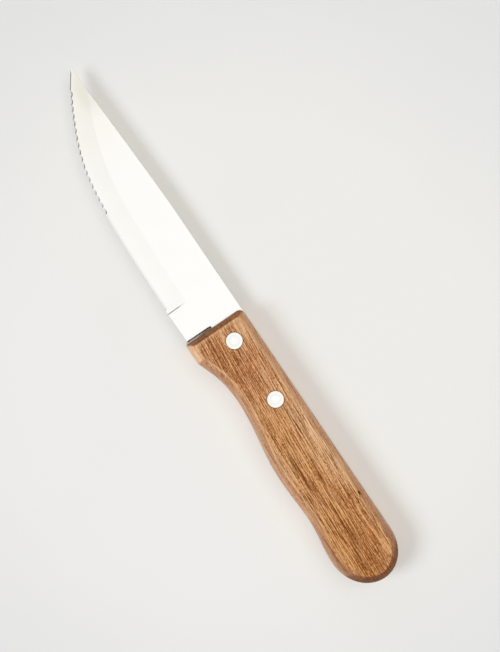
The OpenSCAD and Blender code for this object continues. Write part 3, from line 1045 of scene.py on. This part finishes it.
# Stretches along the handle in which an effect sets in or fades
CALM_X = (-30, 5)
FEW_PORES_X = (-25, 10)
DARK_BUTT_X = (-76, -90)
GOLDEN_END_X = (-86, -90)
CREST_HIGHLIGHT_X = (-92, -74)
FRONT_RIM_X = (FRONT_X - 4.2, FRONT_X - FRONT_ROUND_W)
FACET_X = (FRONT_X - KINK_X, FRONT_X - KINK_X + 0.4)
# Heights from the middle plane in which the painted highlight on the crests comes and goes
CREST_COMES = (MID_Z - 0.4, MID_Z - 0.15)
CREST_GOES = (MID_Z - 0.002, MID_Z - 0.0001)


def cloudiness(tree, place):
    total = 0.0
    for spot, reach, strength in CLOUDS:
        cloud = near(tree, place, (spot, *reach), 0.2, 1.4, strength)
        total = maths(tree, "ADD", cloud, total)
    return total


def goldenness(tree, place, x):
    """Warm, darker heartwood in the middle and towards the butt, and darker still at its end."""
    spread = near(tree, place, HEARTWOOD, 0.3, 1.2, 0.82)
    middle = near(tree, place, MIDDLE_WOOD, 0.3, 1.2, 0.7)
    golden_end = between(tree, distance_to(tree, place, *GOLDEN_BUTT_END), 0.72, 1.0)
    behind = between(tree, x, *GOLDEN_END_X)
    whole = maths(tree, "MAXIMUM", spread, middle)
    return maths(tree, "ADD", whole, product(tree, golden_end, behind), clamp=True)


def make_fibre(tree, place, x):
    """The place in the wood, bent so that the grain slopes, most at the front, and wanders a little."""
    wander = noise(tree, stretched(tree, place, (0.02, 0.05, 0.05)), 1.0, 1)
    slant = maths(tree, "MULTIPLY_ADD", x, 0.0002, 0.096)
    bend = maths(tree, "MULTIPLY_ADD", x, slant, product(tree, wander, 0.8))
    shift = node(tree, "ShaderNodeCombineXYZ", {"Y": bend, "Z": product(tree, bend, 0.4)})
    return vector_maths(tree, "ADD", place, shift.outputs[0])[0]


def make_pores(tree, fibre):
    """Long dark vessels cut open by the surface, crowded in some years' wood."""
    crowd = noise(tree, stretched(tree, fibre, (0.05, 0.35, 0.2)), 1.0, 2)
    pores = 0.0
    for stretch in ((0.06, 2.4, 0.9), (0.12, 3.3, 1.2)):
        inputs = {"Vector": stretched(tree, fibre, stretch), "Scale": 1.0}
        cell = node(tree, "ShaderNodeTexVoronoi", inputs).outputs
        dash = between(tree, cell["Distance"], 0.25, 0.6, 1.0, 0.0)
        dash = product(tree, dash, between(tree, cell["Color"], 0.42, 0.5, 1.0, 0.0))
        pores = maths(tree, "MAXIMUM", dash, pores)
    return product(tree, pores, between(tree, crowd, 0.36, 0.6, 0.35, 1.0))


def grain_tone(tree, place, fibre, x):
    """How light the wood is, calmer in front and patchy all over; and the finest threads alone."""
    layers, tone = {}, 0.0
    for name, (stretch, detail, roughness, share) in GRAIN_LAYERS.items():
        layers[name] = noise(tree, stretched(tree, fibre, stretch), 1.0, detail, roughness)
        tone = maths(tree, "MULTIPLY_ADD", layers[name], share, tone)
    calm = between(tree, x, *CALM_X, 1.0, 0.84)
    tone = maths(tree, "MULTIPLY_ADD", maths(tree, "SUBTRACT", tone, 2.05), calm, 0.63)
    patchy = between(tree, layers["streaks"], 0.3, 0.7, 0.4, 1.6)
    cloud = product(tree, cloudiness(tree, place), patchy)
    return maths(tree, "ADD", tone, cloud), layers["threads"]


def crest_highlight(tree, place, parts, slope, belly_side, end_grain):
    """Painted highlight along the crests of the rounded edges, uneven in strength, and at the front's
    rim.
    """
    off_middle = maths(tree, "ABSOLUTE", maths(tree, "SUBTRACT", parts["Z"], MID_Z))
    crest = product(
        tree,
        between(tree, off_middle, *CREST_COMES),
        between(tree, off_middle, *CREST_GOES, 1.0, 0.0),
    )
    crest_variation = noise(tree, stretched(tree, place, (0.09, 0.3, 0.3)), 1.0, 2)
    in_recess = near(tree, place, FINGER_RECESS, 0.6, 1.2, 0.12)
    highlight_strength = maths(tree, "ADD", in_recess, between(tree, crest_variation, 0.35, 0.65, 0.1, 0.45), clamp=True)
    highlight_strength = product(
        tree, highlight_strength,
        between(tree, belly_side, 0.0, 1.0, 0.6, 1.0),
        between(tree, parts["X"], *CREST_HIGHLIGHT_X, 0.3, 1.0),
    )
    crest = product(tree, crest, highlight_strength, between(tree, end_grain, 0.3, 0.8, 1.0, 0.0))
    front_rim = between(tree, parts["X"], *FRONT_RIM_X, 0.0, 0.3)
    front_rim = product(tree, front_rim, between(tree, slope, 0.1, 0.4, 1.0, 0.0))
    return maths(tree, "MAXIMUM", crest, front_rim)


def make_oiled_wood():
    """Oiled open-pored wood with darker end grain, and painted sheen, light and shade on its rounded
    edges.
    """
    material, tree, shader = new_material("oiled_wood", Specular_IOR_Level=0.14)
    place, coordinates = place_in_mm(tree)
    parts = separated(tree, place)
    normal = separated(tree, coordinates.outputs["Normal"])
    facing_up = maths(tree, "ABSOLUTE", normal["Z"])
    facing_ends = maths(tree, "ABSOLUTE", normal["X"])
    slope = between(tree, facing_up, 0.985, 0.85)
    end_grain = between(tree, facing_ends, 0.06, 0.6)
    belly_side = between(tree, parts["Y"], 0, 10)
    before_kink = between(tree, parts["X"], *FACET_X)
    facet_highlight = product(tree, before_kink, between(tree, normal["Y"], 0.3, 0.5), slope)
    rounding_light = product(tree, slope, maths(tree, "SUBTRACT", 1.0, facet_highlight))

    fibre = make_fibre(tree, place, parts["X"])
    tone, threads = grain_tone(tree, place, fibre, parts["X"])
    pores = product(
        tree, make_pores(tree, fibre),
        between(tree, slope, 0.0, 1.0, 1.0, 0.4),
        between(tree, parts["X"], *FEW_PORES_X, 1.0, 0.65),
    )
    colour = ramp(tree, tone, WOOD_STOPS)
    colour = blend_colours(tree, product(tree, pores, 0.95), colour, PORE_COLOUR)
    colour = tinted(tree, goldenness(tree, place, parts["X"]), colour, GOLDEN_TINT)
    colour = tinted(tree, near(tree, place, RED_WOOD, 0.4, 1.2, 0.8), colour, RED_TINT)
    # Painted shade in the gap round each rivet head
    for x in RIVET_PLACES:
        rivet_gap_shade = near(tree, place, ((FRONT_X - x, 0), HEAD_D / 2, HEAD_D / 2), 1.02, 1.16, 0.55)
        colour = blend_colours(tree, rivet_gap_shade, colour, RIVET_GAP_SHADE_COLOUR)

    # Painted sheen on the rounded edges, then painted light and shade that differ between the back and
    # belly sides
    colour = blend_colours(tree, product(tree, rounding_light, 0.35), colour, ROUNDING_SHEEN_COLOUR)
    rounding_light_tint = blend_colours(tree, belly_side, BACK_PAINTED_LIGHT_TINT, BELLY_PAINTED_LIGHT_TINT)
    colour = tinted(tree, rounding_light, colour, rounding_light_tint)
    # Darker end grain, partly painted shade on the front and butt faces
    colour = tinted(tree, end_grain, colour, ramp(tree, facing_ends, END_TINTS))
    # Painted highlight on the sloping facet in front of the kink
    colour = blend_colours(tree, product(tree, facet_highlight, 0.45), colour, FACET_HIGHLIGHT_COLOUR)
    # Painted shade and sheen on the rounded edges near the butt
    butt_shade_and_sheen = product(tree, slope, between(tree, parts["X"], *DARK_BUTT_X))
    colour = tinted(tree, butt_shade_and_sheen, colour, BUTT_SHADE_AND_SHEEN_TINT)
    # Painted light on the outermost rounded edges, stronger on the belly side and left off the end
    # grain
    rim = product(
        tree, between(tree, facing_up, 0.86, 0.58),
        between(tree, belly_side, 0.0, 1.0, 0.2, 0.42),
        between(tree, end_grain, 0.1, 0.6, 1.0, 0.0),
    )
    colour = blend_colours(tree, rim, colour, RIM_PAINTED_LIGHT_COLOUR)
    # Painted highlight along the crests of the rounded edges and at the front's rim
    crest = crest_highlight(tree, place, parts, slope, belly_side, end_grain)
    colour = blend_colours(tree, crest, colour, CREST_HIGHLIGHT_COLOUR)
    colour = blend_colours(tree, near(tree, place, PIT, 0.6, 1.2), colour, PIT_COLOUR)

    roughness = between(tree, tone, 0.4, 0.7, 0.52, 0.42)
    height = maths(tree, "MULTIPLY_ADD", pores, -0.8, product(tree, threads, 0.4))
    give_finish(tree, shader, colour, roughness, height, 0.15, PORE_RELIEF)
    return material


satin_steel = make_satin_steel()
ground_edge = make_ground_edge()
rivet_aluminium = make_rivet_aluminium()
oiled_wood = make_oiled_wood()

make_blade()
make_handle()
make_rivets()


# Floor, in metres; its painted fall-off of light in millimetres from the middle, and its cool side
# along Y
FLOOR_HALF = 12
FLOOR_DROP = 0.00002
FLOOR_MIDDLE = (5, 3)
FLOOR_COLOUR = (0.85, 0.842, 0.811)
COOL_FLOOR_COLOUR = (0.852, 0.845, 0.834)
FAR_FLOOR_COLOUR = (0.77, 0.77, 0.762)
FLOOR_LIGHT_FALLOFF = (84, 196)
COOL_SIDE = (20, 75)

# Lamps: name, azimuth from +X towards +Y, height in degrees, strength, spread and colour
SUNS = [
    ("overhead", 180, 86, 1.28, 5, (1.02, 0.993, 0.978)),
    ("key", 72, 47, 1.11, 26, (0.93, 1.003, 1.08)),
    ("fill", -108, 66, 0.48, 40, (1.03, 1.0, 0.95)),
]
ROOM_COLOUR = (1.0, 0.985, 0.955, 1)
ROOM_STRENGTH = 0.2

# Sky that the metal shows, from its bright side to the dark side, which lies in one direction
DARK_SIDE = (0.8, 0.45, -0.4)
SKY_STRENGTH = 1.205
SKY = [
    (0.31, (1.0, 1.0, 1.0)), (0.345, (0.97, 0.97, 0.965)), (0.38, (0.915, 0.912, 0.9)),
    (0.45, (0.88, 0.86, 0.83)), (0.54, (0.83, 0.82, 0.79)), (0.64, (0.79, 0.78, 0.76)),
    (0.74, (0.62, 0.62, 0.61)), (0.82, (0.05, 0.05, 0.05)),
]

# Camera, in metres, with the photograph's rows and its millimetres a pixel
CAMERA_SPOT = (0.016458, -0.009061)
CAMERA_HEIGHT = 1.0
CAMERA_TURN = math.radians(-125.15)
SENSOR_W = 36
PHOTO_ROWS = 652
MM_A_PIXEL = 0.42635


def make_floor():
    corners = [(-FLOOR_HALF, -FLOOR_HALF, 0), (FLOOR_HALF, -FLOOR_HALF, 0),
               (FLOOR_HALF, FLOOR_HALF, 0), (-FLOOR_HALF, FLOOR_HALF, 0)]
    floor = new_object("floor", corners, [[0, 1, 2, 3]])
    floor.location.z = -FLOOR_DROP
    material, tree, shader = new_material("pale_floor", Roughness=1.0, Specular_IOR_Level=0.0)
    place, _ = place_in_mm(tree)
    away = distance_to(tree, place, FLOOR_MIDDLE, 1, 1)
    # Painted light on the floor: brightest near the middle, falling off unevenly to the far colour
    falloff_mottle = between(tree, noise(tree, place, 0.02, 2), 0.3, 0.7, -0.05, 0.05)
    light_falloff = maths(tree, "ADD", between(tree, away, *FLOOR_LIGHT_FALLOFF), falloff_mottle)
    cool = between(tree, separated(tree, place)["Y"], *COOL_SIDE)
    near_colour = blend_colours(tree, cool, FLOOR_COLOUR, COOL_FLOOR_COLOUR)
    colour = blend_colours(tree, light_falloff, near_colour, FAR_FLOOR_COLOUR)
    tree.links.new(colour, shader.inputs["Base Color"])
    floor.data.materials.append(material)


def make_sun(name, azimuth, elevation, strength, spread, colour):
    """A soft lamp from one side, left out of reflections."""
    data = bpy.data.lights.new(name, "SUN")
    data.energy = strength
    data.angle = math.radians(spread)
    data.color = colour
    lamp = bpy.data.objects.new(name, data)
    lamp.rotation_euler = (0, math.radians(90 - elevation), math.radians(azimuth))
    lamp.visible_glossy = False
    scene.collection.objects.link(lamp)


def make_world():
    """A plain room that lights the wood, a sky for the metal and the floor's far colour behind."""
    world = bpy.data.worlds.new("studio")
    world.use_nodes = True
    scene.world = world
    tree = world.node_tree
    tree.nodes.clear()
    ray = tree.nodes.new("ShaderNodeLightPath").outputs
    seen = maths(tree, "MAXIMUM", ray["Is Camera Ray"], ray["Is Transmission Ray"])
    room = node(tree, "ShaderNodeBackground", {"Color": ROOM_COLOUR, "Strength": ROOM_STRENGTH})
    direction = tree.nodes.new("ShaderNodeTexCoord").outputs["Generated"]
    darkness = vector_maths(tree, "DOT_PRODUCT", direction, DARK_SIDE)["Value"]
    sky = ramp(tree, between(tree, darkness, -1.0, 1.0, kind="LINEAR"), SKY)
    mirrored = node(tree, "ShaderNodeBackground", {"Color": sky, "Strength": SKY_STRENGTH})
    backdrop = node(tree, "ShaderNodeBackground", {"Color": (*FAR_FLOOR_COLOUR, 1), "Strength": 1.0})
    glossy = {0: ray["Is Glossy Ray"], 1: room.outputs[0], 2: mirrored.outputs[0]}
    unseen = node(tree, "ShaderNodeMixShader", glossy)
    whole = node(tree, "ShaderNodeMixShader", {0: seen, 1: unseen.outputs[0], 2: backdrop.outputs[0]})
    out = tree.nodes.new("ShaderNodeOutputWorld")
    tree.links.new(whole.outputs[0], out.inputs["Surface"])


def make_camera():
    """Straight above the knife, at the photograph's turn and scale."""
    data = bpy.data.cameras.new("camera")
    frame_height = PHOTO_ROWS * MM_A_PIXEL * MM
    data.lens = SENSOR_W * CAMERA_HEIGHT / frame_height
    camera = bpy.data.objects.new("camera", data)
    camera.location = (*CAMERA_SPOT, MID_Z * MM + CAMERA_HEIGHT)
    camera.rotation_euler = (0, 0, CAMERA_TURN)
    scene.collection.objects.link(camera)
    scene.camera = camera


make_floor()
for sun in SUNS:
    make_sun(*sun)
make_world()
make_camera()
scene.view_settings.view_transform = "Standard"

bpy.context.view_layer.update()
